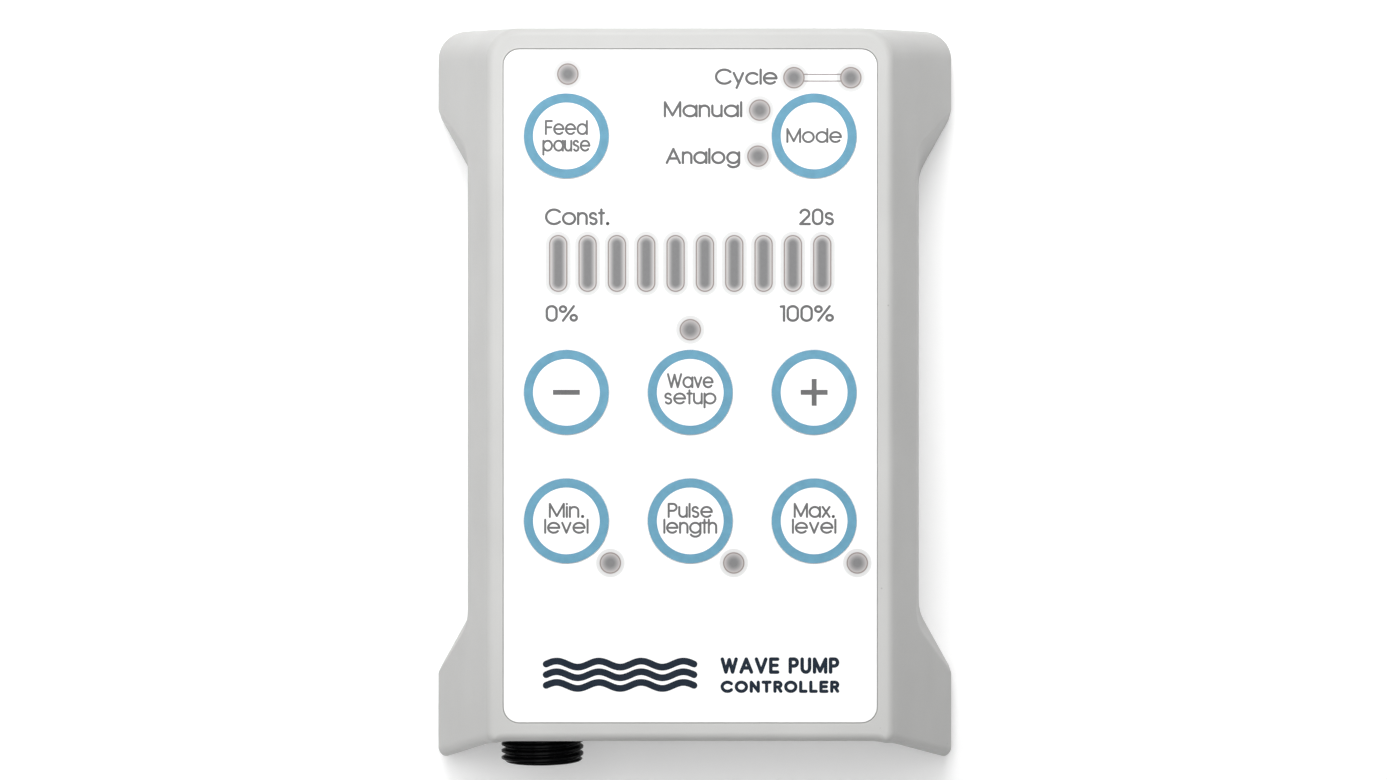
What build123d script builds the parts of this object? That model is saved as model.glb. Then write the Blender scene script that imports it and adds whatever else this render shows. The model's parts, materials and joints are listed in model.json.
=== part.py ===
from build123d import *
from math import cos, radians, sin
import os

os.makedirs("parts", exist_ok=True)

# The controller lies on its back: X to the right, Y towards the top of the keypad,
# Z out of the face. The origin is the middle of the rectangle it rests on.

# Case, outside
CASE_HEIGHT = 32.0
FLARE_Z = 4.0
PARTING_Z = 3.0
PARTING_GAP = 0.15
FACE_WIDTH = 56.3
FACE_LENGTH = 99.4
FOOT_WIDTH = 78.4
FOOT_LENGTH = 111.0
TOP_CORNER_R = 4.6
BOTTOM_CORNER_R = 1.8
FACE_EDGE_R = 1.3
GRIP_EDGE_R = 1.2
FOOT_EDGE_R = 1.0
REAR_EDGE_R = 1.0
WAIST_HALF = 34.7
WAIST_HALF_LENGTH = 33.7
WING_Y = 41.8
GRIP_Y = 0.45
WAIST_R = 6.0
WAIST_DRAFT = 6.0
SOCKET_WALL_Y = -49.5
SOCKET_WALL_HALF = 27.2
SOCKET_FLANK_SLOPE = 0.55
SOCKET_WALL_R = 8.0

# Case, inside
WALL = 2.2
FACE_WALL_Z = 29.6
LIP_GAP = 0.15
LIP_WALL = 1.2
LIP_HEIGHT = 2.0
LIP_ROOT = 0.5
CASE_BOSS_R = 3.2
CASE_BOSS_Z = 4.5
CASE_BOSS_TOP = 17.0
CASE_BOSS_GAP = 0.2

# Case screws, M3, sunk in the rear cover
CASE_SCREW_X = 33.2
CASE_SCREW_Y = 47.5
CASE_SCREW_R = 1.45
CASE_SCREW_LENGTH = 9.0
CASE_SCREW_PILOT_R = 1.5
CASE_SCREW_HOLE_R = 1.7
CASE_SCREW_HEAD_R = 2.75
CASE_SCREW_WELL_R = 3.1
CASE_SCREW_WELL_DEPTH = 2.2
CASE_SCREW_SINK = 0.3
CASE_SCREW_CROSS = (3.2, 0.7, 1.1)
CASE_SCREW_END = CASE_SCREW_WELL_DEPTH + CASE_SCREW_LENGTH
CASE_SCREW_SPARE = 0.4

# Rating label, in a sunk panel
LABEL_WIDTH = 44.0
LABEL_LENGTH = 30.0
LABEL_R = 1.5
LABEL_THICKNESS = 0.15
LABEL_GAP = 0.2
LABEL_PANEL_DEPTH = 0.3

# Keypad
OVERLAY_WIDTH = 52.1
OVERLAY_LENGTH = 93.75
OVERLAY_R = 2.3
OVERLAY_THICKNESS = 0.4
OVERLAY_Z = CASE_HEIGHT - OVERLAY_THICKNESS
OVERLAY_GAP = 0.15
KEY_R = 5.95
KEY_GAP = 0.04
KEY_RELIEF_GAP = 0.15
KEY_THICKNESS = 0.5
KEY_EDGE_R = 0.05
KEY_TRAVEL = 0.4
KEY_RELIEF_DEPTH = 2 * KEY_TRAVEL
STEM_R = 1.75
STEM_HOLE_R = 2.5
STEM_CHAMFER = 0.2
KEY_COLUMN = 17.2
TOP_ROW = 34.7
MIDDLE_ROW = -0.9
BOTTOM_ROW = -18.75
KEYS = {
    "feed_pause": (-KEY_COLUMN, TOP_ROW),
    "mode": (KEY_COLUMN, TOP_ROW),
    "minus": (-KEY_COLUMN, MIDDLE_ROW),
    "wave_setup": (0, MIDDLE_ROW),
    "plus": (KEY_COLUMN, MIDDLE_ROW),
    "min_level": (-KEY_COLUMN, BOTTOM_ROW),
    "pulse_length": (0, BOTTOM_ROW),
    "max_level": (KEY_COLUMN, BOTTOM_ROW),
}

# Indicators
PIPE_R = 1.5
PIPE_GAP = 0.05
PIPE_FLANGE = 0.6
PIPE_FLANGE_THICKNESS = 1.0
WINDOWS = {
    "feed_pause": (-17.0, 43.3),
    "cycle_left": (14.4, 42.8),
    "cycle_right": (22.3, 42.8),
    "manual": (9.65, 38.3),
    "analog": (9.4, 31.9),
    "wave_setup": (0, 7.8),
    "min_level": (-11.1, -24.6),
    "pulse_length": (6.04, -24.6),
    "max_level": (23.2, -24.6),
}
BAR_COUNT = 10
BAR_PITCH = 4.074
BAR_WIDTH = 2.43
BAR_LENGTH = 7.8
BAR_Y = 17.0
BAR_WEB = 1.0
LED_BASE = (2.0, 1.25, 0.8)
LED_LENS = (1.2, 1.25, 0.4)
BAR_LED = (2.0, 3.2, 1.1)

# Circuit board
BOARD_WIDTH = 53.0
BOARD_LENGTH = 91.5
BOARD_Y = -0.5
BOARD_R = 2.0
BOARD_THICKNESS = 1.6
BOARD_TOP = 24.25
BOARD_BOTTOM = BOARD_TOP - BOARD_THICKNESS
BOARD_BOSS_X = 24.3
BOARD_BOSS_Y = (26.5, -33.0)
BOARD_BOSS_R = 2.5
BOARD_PILOT_R = 1.25
BOARD_PILOT_DEPTH = 4.7
BOARD_HOLE_R = 1.45
BOARD_SCREW_R = 1.2
BOARD_SCREW_LENGTH = 6.0
BOARD_SCREW_HEAD_R = 2.25
BOARD_SCREW_HEAD = 1.5
BOARD_SCREW_CROSS = (2.6, 0.55, 0.9)
LIGHT_PIPE_Z = BOARD_TOP + 1.35

# Tact switches
SWITCH_SIZE = 6.0
SWITCH_HEIGHT = 3.5
SWITCH_CORNER = 0.4
SWITCH_WELL_DEPTH = 1.9
SWITCH_WELL_GAP = 0.08
STEM_BOTTOM = BOARD_TOP + SWITCH_HEIGHT - SWITCH_WELL_DEPTH + KEY_TRAVEL + 0.2

# Pump socket, M12
SOCKET_X = -22.15
SOCKET_Z = 15.5
SOCKET_R = 6.0
SOCKET_TIP_Y = -54.3
SOCKET_BORE_R = 4.5
SOCKET_REAR_Y = -41.5
SOCKET_TIP_CHAMFER = 0.35
SOCKET_HOLE_GAP = 0.1
THREAD_PITCH = 1.0
THREAD_LENGTH = 5.6
THREAD_DEPTH = 0.6
THREAD_MOUTH = 0.76
THREAD_ROOT = 0.12
THREAD_CUT = 0.02
FLANGE_R = 7.0
FLANGE_THICKNESS = 1.5
INSERT_DEPTH = 7.6
RIB_DEPTH = 1.2
RIB_WIDTH = 1.1
RIB_HEIGHT = 0.7
RIB_GAP = 0.05
PIN_CIRCLE_R = 2.5
PIN_R = 0.5
PIN_DEPTH = 1.0
FIT_GAP = 0.02
LEG_R = 0.4
LEG_HOLE_R = 0.45
LEG_RISE = 0.8
LEG_ROWS = (1.0, 2.2, 3.4)
SEAL_R = 0.43
SEAL_GAP = 0.05
SEAL_SEAT_DEPTH = 1.0

# Power jack, 5.5 x 2.1
POWER_X = 2.0
POWER_Z = 16.1
POWER_BORE_R = 2.85
POWER_BORE_DEPTH = 10.0
POWER_PIN_R = 1.05
POWER_PIN_LENGTH = 13.2
POWER_PIN_SINK = 0.7
POWER_PIN_TIP_R = 0.4
POWER_COLLAR_R = 3.95
POWER_BODY = (9.0, 14.0, 11.0)

# Control jack, 3.5 mm
CONTROL_X = 20.0
CONTROL_Z = 19.4
CONTROL_BORE_R = 1.8
CONTROL_BORE_DEPTH = 13.0
CONTROL_COLLAR_R = 2.95
CONTROL_BODY = (6.4, 12.0, 6.2)
JACK_SINK = 0.2
COLLAR_LENGTH = 3.0
COLLAR_GAP = 0.05
JACK_WALL_GAP = 0.1

# Wall hanging
KEYHOLE_Y = 30.0
KEYHOLE_R = 4.0
KEYHOLE_SLOT = 4.0
KEYHOLE_RISE = 7.0
KEYHOLE_FLOOR = 1.6
KEYHOLE_POCKET_TOP = 4.6
KEYHOLE_WALL = 1.4

# Chips under the board
MICROCONTROLLER_SPOT = (-6.0, 8.0)
MICROCONTROLLER_SIZE = 7.0
MICROCONTROLLER_HEIGHT = 1.4
MICROCONTROLLER_CORNER = 0.4
LEAD_PITCH = 0.8
LEAD_COUNT = 8
LEAD_SIZE = (1.2, 0.35, 0.5)
LEAD_REACH = 1.0
TRANSISTOR_SPOTS = ((-22.0, -22.0), (-11.0, -22.0), (-11.0, -33.0))
TRANSISTOR_BODY = (6.6, 6.1, 2.3)
TRANSISTOR_TAB = (5.2, 2.0, 0.5)
TRANSISTOR_LEG = (0.8, 2.2, 0.6)
TRANSISTOR_LEG_X = 2.3
TRANSISTOR_END_Y = 4.0
CAPACITOR_SPOTS = ((2.0, -22.0), (13.5, -22.0))
CAPACITOR_R = 5.0
CAPACITOR_HEIGHT = 11.5
CAPACITOR_EDGE_R = 0.6
INDUCTOR_SPOT = (10.0, 8.0)
INDUCTOR_SIZE = 10.0
INDUCTOR_HEIGHT = 4.0
INDUCTOR_CORNER = 1.2
INDUCTOR_EDGE_R = 0.5

INNER_WALL_Y = SOCKET_WALL_Y + WALL
FACE_WALL = CASE_HEIGHT - FACE_WALL_Z + 1
JACK_FRONT = Plane.XZ.offset(-SOCKET_WALL_Y - JACK_SINK)


def save(part, name):
    """Labels one piece and writes it to its own file."""
    part.label = name
    export_step(part, f"parts/{name}.step")


def cross_slots(spots, size, z):
    """The crosses in a set of screw heads, drawn at a height."""
    length, width, _ = size
    with BuildSketch(Plane.XY.offset(z)) as slots:
        with Locations(*spots):
            Rectangle(length, width)
            Rectangle(width, length)
    return slots.sketch


# ---------------------------------------------------------------- case shape


def grip_profile(inset):
    """The two shallow trapezoids that the hand grips are cut with, at the rear of the case."""
    flank = (FOOT_WIDTH / 2 - WAIST_HALF) / (WING_Y - WAIST_HALF_LENGTH)
    waist = WAIST_HALF - inset
    reach = 14.0
    with BuildSketch(Plane.XY.offset(-1)) as grip:
        with BuildLine():
            Polyline(
                (waist + reach, WAIST_HALF_LENGTH + reach / flank),
                (waist, WAIST_HALF_LENGTH),
                (waist, -WAIST_HALF_LENGTH),
                (waist + reach, -WAIST_HALF_LENGTH - reach / flank),
                close=True,
            )
        make_face()
        fillet(grip.vertices().group_by(Axis.X)[0], WAIST_R)
        mirror(about=Plane.YZ)
    return grip.sketch.moved(Location((0, GRIP_Y, 0)))


def socket_recess_profile(inset):
    """The wide notch in the bottom end that the sockets stand in."""
    wall = SOCKET_WALL_Y + inset
    reach = 20.0
    with BuildSketch(Plane.XY.offset(-1)) as recess:
        with BuildLine():
            Polyline(
                (-SOCKET_WALL_HALF - reach, wall - reach * SOCKET_FLANK_SLOPE),
                (-SOCKET_WALL_HALF, wall),
                (SOCKET_WALL_HALF, wall),
                (SOCKET_WALL_HALF + reach, wall - reach * SOCKET_FLANK_SLOPE),
                close=True,
            )
        make_face()
        fillet(recess.vertices().group_by(Axis.Y)[-1], SOCKET_WALL_R)
    return recess.sketch


def flared_block(inset, z_low, z_high):
    """The outside shape of the case with every wall moved in by the inset."""
    side_slope = (FOOT_WIDTH - FACE_WIDTH) / 2 / (CASE_HEIGHT - FLARE_Z)
    end_slope = (FOOT_LENGTH - FACE_LENGTH) / 2 / (CASE_HEIGHT - FLARE_Z)
    foot_x = FOOT_WIDTH / 2 - inset
    foot_y = FOOT_LENGTH / 2 - inset
    top_x = foot_x - side_slope * (z_high - FLARE_Z)
    top_y = foot_y - end_slope * (z_high - FLARE_Z)
    with BuildPart() as block:
        with BuildSketch(Plane.XZ):
            with BuildLine():
                Polyline((-foot_x, FLARE_Z), (foot_x, FLARE_Z), (top_x, z_high), (-top_x, z_high), close=True)
            make_face()
        extrude(amount=FOOT_LENGTH, both=True)
        with BuildSketch(Plane.YZ):
            with BuildLine():
                Polyline((-foot_y, FLARE_Z), (foot_y, FLARE_Z), (top_y, z_high), (-top_y, z_high), close=True)
            make_face()
        extrude(amount=FOOT_WIDTH, both=True, mode=Mode.INTERSECT)
        corners = block.edges().filter_by(lambda edge: edge.bounding_box().size.Z > 20)
        fillet(corners.group_by(Axis.Y)[-1], TOP_CORNER_R - inset)
        fillet(corners.group_by(Axis.Y)[0], max(BOTTOM_CORNER_R - inset, 0.4))
        foot = block.faces().sort_by(Axis.Z)[0]
        extrude(foot, amount=FLARE_Z - z_low)
        extrude(grip_profile(inset), amount=CASE_HEIGHT + 2, taper=-WAIST_DRAFT, mode=Mode.SUBTRACT)
        extrude(socket_recess_profile(inset), amount=CASE_HEIGHT + 2, mode=Mode.SUBTRACT)
    return block.part


def on_grip(edge):
    """An edge where a sloping side meets a grip. The grips end about two thirds of the way up."""
    box = edge.bounding_box()
    ends_there = CASE_HEIGHT / 2 - 1 < box.max.Z < CASE_HEIGHT - 7
    return abs(edge.center().Y) < WING_Y and ends_there and box.min.Z > FLARE_Z - 0.1


def on_wing(edge):
    """A short upright edge at the end of a grip."""
    centre = edge.center()
    on_side = abs(abs(centre.X) - FOOT_WIDTH / 2) < 0.01 and edge.bounding_box().size.Z > FLARE_Z / 2
    return on_side and 0 < abs(centre.Y - GRIP_Y) - WING_Y < 2


def on_foot(edge):
    """An edge between the bottom end and the flank of the socket notch, down to the foot."""
    box = edge.bounding_box()
    curved = edge.geom_type != GeomType.LINE and box.size.Z > FLARE_Z - 0.5
    return curved and edge.center().Y < SOCKET_WALL_Y and abs(edge.center().X) > SOCKET_WALL_HALF - 1


with BuildPart() as case_block:
    add(flared_block(0, 0, CASE_HEIGHT))
    fillet(case_block.edges().filter_by(lambda edge: on_grip(edge) or on_wing(edge)), GRIP_EDGE_R)
    fillet(case_block.edges().filter_by(on_foot), FOOT_EDGE_R)
    fillet(case_block.edges().group_by(Axis.Z)[-1], FACE_EDGE_R)
    fillet(case_block.edges().group_by(Axis.Z)[0], REAR_EDGE_R)

case_boss_spots = GridLocations(2 * CASE_SCREW_X, 2 * CASE_SCREW_Y, 2, 2).locations
board_boss_spots = [Location((x, y)) for x in (-BOARD_BOSS_X, BOARD_BOSS_X) for y in BOARD_BOSS_Y]

# ---------------------------------------------------------------- front shell

with BuildPart() as shell_hollow:
    add(flared_block(WALL, PARTING_Z - 1, FACE_WALL_Z))
    with BuildSketch(Plane.XY.offset(CASE_BOSS_Z)):
        with Locations(*case_boss_spots):
            Circle(CASE_BOSS_R)
    extrude(amount=CASE_BOSS_TOP - CASE_BOSS_Z, mode=Mode.SUBTRACT)
    with BuildSketch(Plane.XY.offset(BOARD_TOP)):
        with Locations(*board_boss_spots):
            Circle(BOARD_BOSS_R)
    extrude(amount=CASE_HEIGHT, mode=Mode.SUBTRACT)

with BuildPart() as front_shell:
    add(case_block.part)
    split(bisect_by=Plane.XY.offset(PARTING_Z + PARTING_GAP), keep=Keep.TOP)
    add(shell_hollow.part, mode=Mode.SUBTRACT)
    # recess that the overlay is laid in
    with BuildSketch(Plane.XY.offset(OVERLAY_Z)):
        RectangleRounded(OVERLAY_WIDTH, OVERLAY_LENGTH, OVERLAY_R)
    extrude(amount=OVERLAY_THICKNESS + 1, mode=Mode.SUBTRACT)
    # relief under each key, and the hole for its stem
    with BuildSketch(Plane.XY.offset(OVERLAY_Z)):
        with Locations(*KEYS.values()):
            Circle(KEY_R + KEY_RELIEF_GAP)
    extrude(amount=-KEY_RELIEF_DEPTH, mode=Mode.SUBTRACT)
    with BuildSketch(Plane.XY.offset(OVERLAY_Z)):
        with Locations(*KEYS.values()):
            Circle(STEM_HOLE_R)
    extrude(amount=-FACE_WALL, mode=Mode.SUBTRACT)
    # light pipes and bars
    with BuildSketch(Plane.XY.offset(OVERLAY_Z)):
        with Locations(*WINDOWS.values()):
            Circle(PIPE_R + PIPE_GAP)
        with Locations((0, BAR_Y)):
            with GridLocations(BAR_PITCH, 0, BAR_COUNT, 1):
                SlotOverall(BAR_LENGTH + 2 * PIPE_GAP, BAR_WIDTH + 2 * PIPE_GAP, rotation=90)
    extrude(amount=-FACE_WALL, mode=Mode.SUBTRACT)
    # pilot holes for the screws
    with BuildSketch(Plane.XY.offset(CASE_BOSS_Z)):
        with Locations(*case_boss_spots):
            Circle(CASE_SCREW_PILOT_R)
    extrude(amount=CASE_SCREW_END - CASE_BOSS_Z + CASE_SCREW_SPARE, mode=Mode.SUBTRACT)
    with BuildSketch(Plane.XY.offset(BOARD_TOP)):
        with Locations(*board_boss_spots):
            Circle(BOARD_PILOT_R)
    extrude(amount=BOARD_PILOT_DEPTH, mode=Mode.SUBTRACT)
    # openings for the three sockets
    with BuildSketch(Plane.XZ.offset(-SOCKET_WALL_Y + 1)):
        with Locations((SOCKET_X, SOCKET_Z)):
            Circle(SOCKET_R + SOCKET_HOLE_GAP)
        with Locations((POWER_X, POWER_Z)):
            Circle(POWER_COLLAR_R + COLLAR_GAP)
        with Locations((CONTROL_X, CONTROL_Z)):
            Circle(CONTROL_COLLAR_R + COLLAR_GAP)
    extrude(amount=-(WALL + 2), mode=Mode.SUBTRACT)
    # seat for the socket seal, on the inside of the wall
    with BuildSketch(Plane.XZ.offset(-INNER_WALL_Y - JACK_WALL_GAP)):
        with Locations((SOCKET_X, SOCKET_Z)):
            Circle(FLANGE_R + SEAL_GAP)
    extrude(amount=SEAL_SEAT_DEPTH, mode=Mode.SUBTRACT)
save(front_shell.part, "front_shell")

# ---------------------------------------------------------------- rear cover


def keyhole_pocket(extra):
    """The space that a screw head drops into and slides up in."""
    with BuildSketch() as pocket:
        with Locations((0, -KEYHOLE_Y), (0, KEYHOLE_Y)):
            SlotCenterToCenter(KEYHOLE_RISE, 2 * (KEYHOLE_R + extra), rotation=90)
    return pocket.sketch.moved(Location((0, KEYHOLE_RISE / 2, 0)))


with BuildPart() as lip_outside:
    add(flared_block(WALL + LIP_GAP, 0, FACE_WALL_Z))
    split(bisect_by=Plane.XY.offset(PARTING_Z + LIP_HEIGHT), keep=Keep.BOTTOM)
    split(bisect_by=Plane.XY.offset(PARTING_Z - LIP_ROOT), keep=Keep.TOP)

with BuildPart() as screw_pads:
    with BuildSketch(Plane.XY.offset(PARTING_Z - LIP_ROOT)):
        with Locations(*case_boss_spots):
            Circle(CASE_BOSS_R)
    extrude(amount=CASE_BOSS_Z - PARTING_Z + LIP_ROOT)
    add(lip_outside.part, mode=Mode.INTERSECT)

with BuildPart() as rear_cover:
    add(case_block.part)
    split(bisect_by=Plane.XY.offset(PARTING_Z), keep=Keep.BOTTOM)
    add(lip_outside.part)
    add(flared_block(WALL + LIP_GAP + LIP_WALL, PARTING_Z, FACE_WALL_Z), mode=Mode.SUBTRACT)
    add(screw_pads.part)
    # clearance round the screw bosses, above the pads
    with BuildSketch(Plane.XY.offset(CASE_BOSS_Z)):
        with Locations(*case_boss_spots):
            Circle(CASE_BOSS_R + CASE_BOSS_GAP)
    extrude(amount=LIP_HEIGHT, mode=Mode.SUBTRACT)
    with BuildSketch():
        with Locations(*case_boss_spots):
            Circle(CASE_SCREW_HOLE_R)
    extrude(amount=CASE_BOSS_Z, mode=Mode.SUBTRACT)
    with BuildSketch():
        with Locations(*case_boss_spots):
            Circle(CASE_SCREW_WELL_R)
    extrude(amount=CASE_SCREW_WELL_DEPTH, mode=Mode.SUBTRACT)
    # closed pockets behind the keyholes
    walls = keyhole_pocket(KEYHOLE_WALL).moved(Location((0, 0, KEYHOLE_FLOOR)))
    pocket_depth = KEYHOLE_POCKET_TOP - KEYHOLE_FLOOR
    extrude(walls, amount=pocket_depth + KEYHOLE_WALL)
    extrude(keyhole_pocket(0).moved(Location((0, 0, KEYHOLE_FLOOR))), amount=pocket_depth, mode=Mode.SUBTRACT)
    with BuildSketch():
        with Locations((0, -KEYHOLE_Y), (0, KEYHOLE_Y)):
            Circle(KEYHOLE_R)
        with Locations((0, -KEYHOLE_Y + KEYHOLE_RISE / 2), (0, KEYHOLE_Y + KEYHOLE_RISE / 2)):
            SlotCenterToCenter(KEYHOLE_RISE, KEYHOLE_SLOT, rotation=90)
    extrude(amount=KEYHOLE_FLOOR, mode=Mode.SUBTRACT)
    # sunk panel for the rating label
    with BuildSketch():
        RectangleRounded(LABEL_WIDTH + 2 * LABEL_GAP, LABEL_LENGTH + 2 * LABEL_GAP, LABEL_R + LABEL_GAP)
    extrude(amount=LABEL_PANEL_DEPTH, mode=Mode.SUBTRACT)
save(rear_cover.part, "rear_cover")

with BuildPart() as rating_label:
    with BuildSketch(Plane.XY.offset(LABEL_PANEL_DEPTH)):
        RectangleRounded(LABEL_WIDTH, LABEL_LENGTH, LABEL_R)
    extrude(amount=-LABEL_THICKNESS)
save(rating_label.part, "rating_label")

with BuildPart() as case_screws:
    with BuildSketch(Plane.XY.offset(CASE_SCREW_SINK)):
        with Locations(*case_boss_spots):
            Circle(CASE_SCREW_HEAD_R)
    extrude(amount=CASE_SCREW_WELL_DEPTH - CASE_SCREW_SINK)
    with BuildSketch(Plane.XY.offset(CASE_SCREW_WELL_DEPTH)):
        with Locations(*case_boss_spots):
            Circle(CASE_SCREW_R)
    extrude(amount=CASE_SCREW_LENGTH)
    extrude(cross_slots(case_boss_spots, CASE_SCREW_CROSS, CASE_SCREW_SINK), amount=CASE_SCREW_CROSS[2],
            mode=Mode.SUBTRACT)
save(case_screws.part, "case_screws")

# ---------------------------------------------------------------- keypad

with BuildPart() as keypad_overlay:
    with BuildSketch(Plane.XY.offset(OVERLAY_Z)):
        RectangleRounded(
            OVERLAY_WIDTH - 2 * OVERLAY_GAP, OVERLAY_LENGTH - 2 * OVERLAY_GAP, OVERLAY_R - OVERLAY_GAP
        )
        with Locations(*KEYS.values()):
            Circle(KEY_R + KEY_GAP, mode=Mode.SUBTRACT)
    extrude(amount=OVERLAY_THICKNESS)
save(keypad_overlay.part, "keypad_overlay")


def build_key(x, y):
    """A key: a thin disc with a softened rim."""
    with BuildPart() as key:
        with BuildSketch(Plane.XY.offset(OVERLAY_Z)):
            with Locations((x, y)):
                Circle(KEY_R)
        extrude(amount=KEY_THICKNESS)
        fillet(key.edges().group_by(Axis.Z)[-1], KEY_EDGE_R)
    return key.part


def build_stem(x, y):
    """The plunger that a key pushes into its switch."""
    with BuildPart() as stem:
        with BuildSketch(Plane.XY.offset(STEM_BOTTOM)):
            with Locations((x, y)):
                Circle(STEM_R)
        extrude(amount=OVERLAY_Z - STEM_BOTTOM)
        chamfer(stem.edges().group_by(Axis.Z)[0], STEM_CHAMFER)
    return stem.part


def build_switch(x, y):
    """A square tact switch with a well for its plunger."""
    with BuildPart() as switch:
        with BuildSketch(Plane.XY.offset(BOARD_TOP)):
            with Locations((x, y)):
                Rectangle(SWITCH_SIZE, SWITCH_SIZE)
        extrude(amount=SWITCH_HEIGHT)
        chamfer(switch.edges().filter_by(Axis.Z), SWITCH_CORNER)
        with BuildSketch(Plane.XY.offset(BOARD_TOP + SWITCH_HEIGHT)):
            with Locations((x, y)):
                Circle(STEM_R + SWITCH_WELL_GAP)
        extrude(amount=-SWITCH_WELL_DEPTH, mode=Mode.SUBTRACT)
    return switch.part


for name, (x, y) in KEYS.items():
    save(build_key(x, y), f"{name}_key")
    save(build_stem(x, y), f"{name}_stem")
    save(build_switch(x, y), f"{name}_switch")

# ---------------------------------------------------------------- light path


def build_pipe(x, y):
    """A round light pipe with a flange that sits under the face wall."""
    with BuildPart() as pipe:
        with BuildSketch(Plane.XY.offset(LIGHT_PIPE_Z)):
            with Locations((x, y)):
                Circle(PIPE_R)
        extrude(amount=OVERLAY_Z - LIGHT_PIPE_Z)
        with BuildSketch(Plane.XY.offset(FACE_WALL_Z)):
            with Locations((x, y)):
                Circle(PIPE_R + PIPE_FLANGE)
        extrude(amount=-PIPE_FLANGE_THICKNESS)
    return pipe.part


for name, (x, y) in WINDOWS.items():
    save(build_pipe(x, y), f"{name}_light_pipe")

with BuildPart() as bar_light_guide:
    with BuildSketch(Plane.XY.offset(FACE_WALL_Z)):
        with Locations((0, BAR_Y)):
            RectangleRounded(BAR_PITCH * BAR_COUNT + 2 * BAR_WEB, BAR_LENGTH + 2 * BAR_WEB, BAR_WEB)
    extrude(amount=-PIPE_FLANGE_THICKNESS)
    with BuildSketch(Plane.XY.offset(LIGHT_PIPE_Z)):
        with Locations((0, BAR_Y)):
            with GridLocations(BAR_PITCH, 0, BAR_COUNT, 1):
                SlotOverall(BAR_LENGTH, BAR_WIDTH, rotation=90)
    extrude(amount=OVERLAY_Z - LIGHT_PIPE_Z)
save(bar_light_guide.part, "bar_light_guide")

with BuildPart() as indicator_leds:
    with BuildSketch(Plane.XY.offset(BOARD_TOP)):
        with Locations(*WINDOWS.values()):
            Rectangle(*LED_BASE[:2])
    extrude(amount=LED_BASE[2])
    with BuildSketch(Plane.XY.offset(BOARD_TOP + LED_BASE[2])):
        with Locations(*WINDOWS.values()):
            Rectangle(*LED_LENS[:2])
    extrude(amount=LED_LENS[2])
save(indicator_leds.part, "indicator_leds")

with BuildPart() as bar_leds:
    with BuildSketch(Plane.XY.offset(BOARD_TOP)):
        with Locations((0, BAR_Y)):
            with GridLocations(BAR_PITCH, 0, BAR_COUNT, 1):
                Rectangle(*BAR_LED[:2])
    extrude(amount=BAR_LED[2])
save(bar_leds.part, "bar_leds")

# ---------------------------------------------------------------- pump socket


def pin_spots():
    """Centres of the socket's pins in the plane across its axis: four round one."""
    spots = [(SOCKET_X, SOCKET_Z)]
    for corner in (45, 135, 225, 315):
        angle = radians(corner)
        spots.append((SOCKET_X + PIN_CIRCLE_R * cos(angle), SOCKET_Z + PIN_CIRCLE_R * sin(angle)))
    return spots


def leg_y(z):
    """How far in a contact runs before it turns up to the board."""
    upper, middle, lower = LEG_ROWS
    if z > SOCKET_Z + PIN_R:
        return SOCKET_REAR_Y + upper
    if z < SOCKET_Z - PIN_R:
        return SOCKET_REAR_Y + lower
    return SOCKET_REAR_Y + middle


socket_axis = Plane((SOCKET_X, SOCKET_TIP_Y, SOCKET_Z), x_dir=(1, 0, 0), z_dir=(0, 1, 0))
socket_length = SOCKET_REAR_Y - SOCKET_TIP_Y

with BuildPart() as thread_groove:
    with BuildLine():
        turns = Helix(THREAD_PITCH, THREAD_LENGTH, SOCKET_R)
    with BuildSketch(Plane(turns @ 0, x_dir=(1, 0, 0), z_dir=turns % 0)):
        with BuildLine():
            Polyline(
                (THREAD_CUT, -THREAD_MOUTH / 2),
                (-THREAD_DEPTH, -THREAD_ROOT / 2),
                (-THREAD_DEPTH, THREAD_ROOT / 2),
                (THREAD_CUT, THREAD_MOUTH / 2),
                close=True,
            )
        make_face()
    sweep(is_frenet=True)

with BuildPart() as pump_socket_shell:
    with BuildSketch(socket_axis):
        Circle(SOCKET_R)
    extrude(amount=socket_length)
    chamfer(pump_socket_shell.edges().group_by(Axis.Y)[0], SOCKET_TIP_CHAMFER)
    add(thread_groove.part.moved(socket_axis.offset(-THREAD_PITCH / 2).location), mode=Mode.SUBTRACT)
    with BuildSketch(socket_axis.offset(INNER_WALL_Y - SOCKET_TIP_Y)):
        Circle(FLANGE_R)
    extrude(amount=FLANGE_THICKNESS)
    with BuildSketch(socket_axis):
        Circle(SOCKET_BORE_R)
    extrude(amount=socket_length, mode=Mode.SUBTRACT)
save(pump_socket_shell.part, "pump_socket_shell")

with BuildPart() as pump_socket_insert:
    with BuildSketch(socket_axis.offset(INSERT_DEPTH)):
        Circle(SOCKET_BORE_R - FIT_GAP)
    extrude(amount=socket_length - INSERT_DEPTH)
    with BuildSketch(socket_axis.offset(RIB_DEPTH)):
        with Locations((0, SOCKET_BORE_R - RIB_HEIGHT / 2 - RIB_GAP)):
            Rectangle(RIB_WIDTH, RIB_HEIGHT)
    extrude(amount=INSERT_DEPTH - RIB_DEPTH + RIB_HEIGHT)
    with BuildSketch(Plane.XZ.offset(-SOCKET_TIP_Y)):
        with Locations(*pin_spots()):
            Circle(PIN_R + FIT_GAP)
    extrude(amount=-socket_length, mode=Mode.SUBTRACT)
save(pump_socket_insert.part, "pump_socket_insert")

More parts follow.
